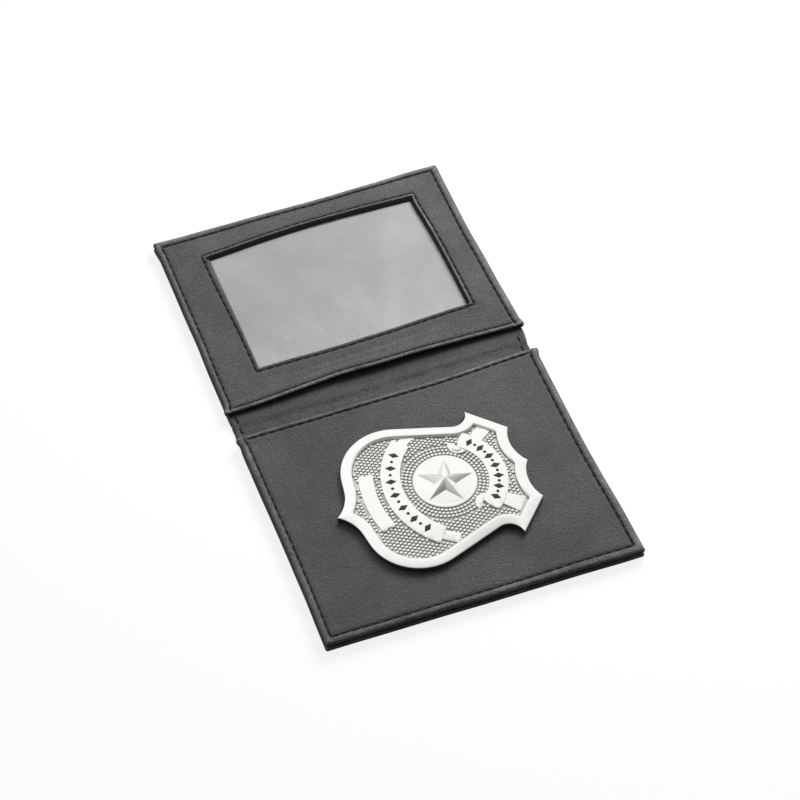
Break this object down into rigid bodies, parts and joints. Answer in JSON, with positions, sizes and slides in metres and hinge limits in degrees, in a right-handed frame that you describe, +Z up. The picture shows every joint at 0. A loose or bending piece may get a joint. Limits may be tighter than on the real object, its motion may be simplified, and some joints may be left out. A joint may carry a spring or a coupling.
{
  "type": "id badge wallet",
  "caption": "Open leather bifold wallet with a metal shield badge on one half and a clear window over a blank card on the other; it folds shut at a flexible spine.",
  "frame": {"origin": "on the surface that the open wallet lies on, under the middle of its spine", "axes": "+X across the wallet, the way the shield's top points; +Y towards the window half; +Z up, out of the open inside"},
  "size_m": [0.105, 0.176, 0.0083],
  "materials": {
    "cover_leather": "fine grain, satin",
    "lining_leather": "fine grain, satin",
    "panel_leather": "fine grain, satin",
    "stiffener_board": "grey board",
    "backing_cloth": "plain woven",
    "shield_metal": "bright plated die casting",
    "black_enamel": "hard enamel",
    "post_steel": "threaded stud",
    "nut_brass": "turned",
    "thread": "waxed polyester",
    "clear_vinyl": "clear film",
    "card_plastic": "blank card"
  },
  "bodies": {
    "spine": {"cover_spine": "cover_leather", "lining_spine": "lining_leather", "spine_stitches": "thread"},
    "badge_half": {"cover_badge_side": "cover_leather", "board_badge_side": "stiffener_board", "lining_badge_side": "lining_leather", "badge_panel": "panel_leather", "badge_panel_backing": "backing_cloth", "shield": "shield_metal", "centre_disc": "shield_metal", "star": "shield_metal", "banner_enamel": "black_enamel", "shield_posts": "post_steel", "post_nuts": "nut_brass", "badge_side_stitches": "thread", "badge_mouth_stitches": "thread"},
    "window_half": {"cover_window_side": "cover_leather", "board_window_side": "stiffener_board", "lining_window_side": "lining_leather", "window_frame": "panel_leather", "window_pane": "clear_vinyl", "window_side_stitches": "thread", "window_opening_stitches": "thread", "card_mouth_stitches": "thread"},
    "id_card": {"id_card": "card_plastic"}
  },
  "joints": [
    {"name": "badge_fold", "type": "hinge", "parent": "spine", "child": "badge_half", "pos_m": [0, -0.0035, 0.0015], "axis": [-1, 0, 0], "range_deg": [0, 87]},
    {"name": "window_fold", "type": "hinge", "parent": "spine", "child": "window_half", "pos_m": [0, 0.0035, 0.0015], "axis": [1, 0, 0], "range_deg": [0, 87]},
    {"name": "card_slide", "type": "slide", "parent": "window_half", "child": "id_card", "axis": [0, -1, 0], "range_m": [-0.0035, 0.0191]}
  ],
  "couplings": [
    {"joint": "window_fold", "follows": "badge_fold", "ratio": 1}
  ]
}
